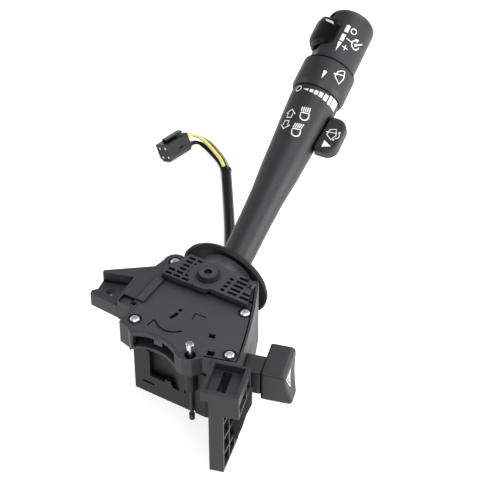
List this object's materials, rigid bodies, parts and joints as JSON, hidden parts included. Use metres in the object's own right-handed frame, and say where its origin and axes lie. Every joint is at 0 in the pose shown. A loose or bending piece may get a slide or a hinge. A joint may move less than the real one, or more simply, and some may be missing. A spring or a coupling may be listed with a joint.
{
  "type": "combination stalk switch",
  "caption": "Steering column switch: stalk with turn, dimmer, wiper band, washer paddle and cruise slider, hazard button, cancel pawl and pigtail plug.",
  "frame": {"origin": "centre of the mounting ear's hole, at the top of the ear's floor", "axes": "+Z along the hole out of the cover's face, parallel to the steering column; +Y towards the stalk; +X towards the hazard button"},
  "size_m": [0.2198, 0.3076, 0.1307],
  "materials": {
    "case_black": "fine moulded grain",
    "lever_black": "satin moulded grain",
    "zinc_steel": "bright zinc plate",
    "spring_steel": "oiled",
    "board_green": "solder mask",
    "tinned_brass": "tin plated",
    "natural_plastic": "unpainted acetal",
    "soft_black": "soft vinyl",
    "wire_tan": "smooth insulation",
    "wire_yellow": "smooth insulation",
    "wire_white": "smooth insulation",
    "print_white": "pad-printed ink",
    "wire_black": "smooth insulation"
  },
  "bodies": {
    "case": {"main_case": "case_black", "cover_plate": "case_black", "cover_screws": "zinc_steel", "column_screw": "zinc_steel", "lower_case": "case_black", "base_cover": "case_black", "circuit_board": "board_green", "terminal_pins": "tinned_brass", "detent_plate": "natural_plastic", "guide_bracket": "case_black", "cable_grommet": "soft_black", "harness_sleeve": "soft_black", "wire_tan": "wire_tan", "wire_yellow": "wire_yellow", "wire_white": "wire_white", "wire_black": "wire_black", "plug_housing": "case_black", "plug_terminals": "tinned_brass"},
    "carrier": {"turn_carrier": "case_black", "dimmer_pin": "zinc_steel", "turn_detent": "natural_plastic", "detent_spring": "spring_steel"},
    "pawl": {"cancel_pawl": "natural_plastic"},
    "contact": {"contact_slider": "natural_plastic"},
    "lever": {"lever_arm": "lever_black", "dust_shield": "lever_black", "lever_tube": "lever_black", "end_cap": "lever_black"},
    "band": {"wiper_shaft": "lever_black", "wiper_band": "lever_black"},
    "paddle": {"wash_paddle": "lever_black"},
    "slider": {"cruise_slider": "lever_black"},
    "set": {"set_button": "lever_black"},
    "hazard": {"hazard_stem": "lever_black", "hazard_knob": "lever_black"}
  },
  "joints": [
    {"name": "turn_swing", "type": "hinge", "parent": "case", "child": "carrier", "pos_m": [0.0492, 0.0324, 0.007], "axis": [0, 0, 1], "range_deg": [-9, 9]},
    {"name": "dimmer_tilt", "type": "hinge", "parent": "carrier", "child": "lever", "pos_m": [0.04696, 0.03219, -0.02716], "axis": [0.9955, 0.0948, 0], "range_deg": [0, 6], "stiffness_Nm_per_rad": 3, "springref_deg": -3.44},
    {"name": "cancel_swing", "type": "hinge", "parent": "carrier", "child": "pawl", "pos_m": [0.0492, 0.0134, 0.0015], "axis": [0, 0, 1], "range_deg": [-3.5, 3.5], "stiffness_Nm_per_rad": 0.05},
    {"name": "contact_travel", "type": "slide", "parent": "case", "child": "contact", "axis": [1, 0, 0], "range_m": [-0.003, 0.003]},
    {"name": "band_turn", "type": "hinge", "parent": "lever", "child": "band", "pos_m": [0.03058, 0.20425, 0.03595], "axis": [-0.0891, 0.9351, 0.343], "range_deg": [-35, 35]},
    {"name": "wash_pull", "type": "hinge", "parent": "lever", "child": "paddle", "pos_m": [0.04493, 0.17164, 0.02361], "axis": [-0.0891, 0.9351, 0.343], "range_deg": [-6, 0], "stiffness_Nm_per_rad": 0.3, "springref_deg": 5.73},
    {"name": "cruise_travel", "type": "slide", "parent": "lever", "child": "slider", "axis": [-0.0891, 0.9351, 0.343], "range_m": [-0.01, 0]},
    {"name": "set_push", "type": "slide", "parent": "lever", "child": "set", "axis": [0.0891, -0.9351, -0.343], "range_m": [0, 0.0015], "stiffness_N_per_m": 250, "springref_m": -0.003},
    {"name": "hazard_push", "type": "slide", "parent": "case", "child": "hazard", "axis": [-0.9613, -0.2756, 0], "range_m": [0, 0.004], "stiffness_N_per_m": 300, "springref_m": -0.004}
  ],
  "couplings": [
    {"joint": "contact_travel", "follows": "turn_swing", "m_per_rad": 0.018}
  ]
}
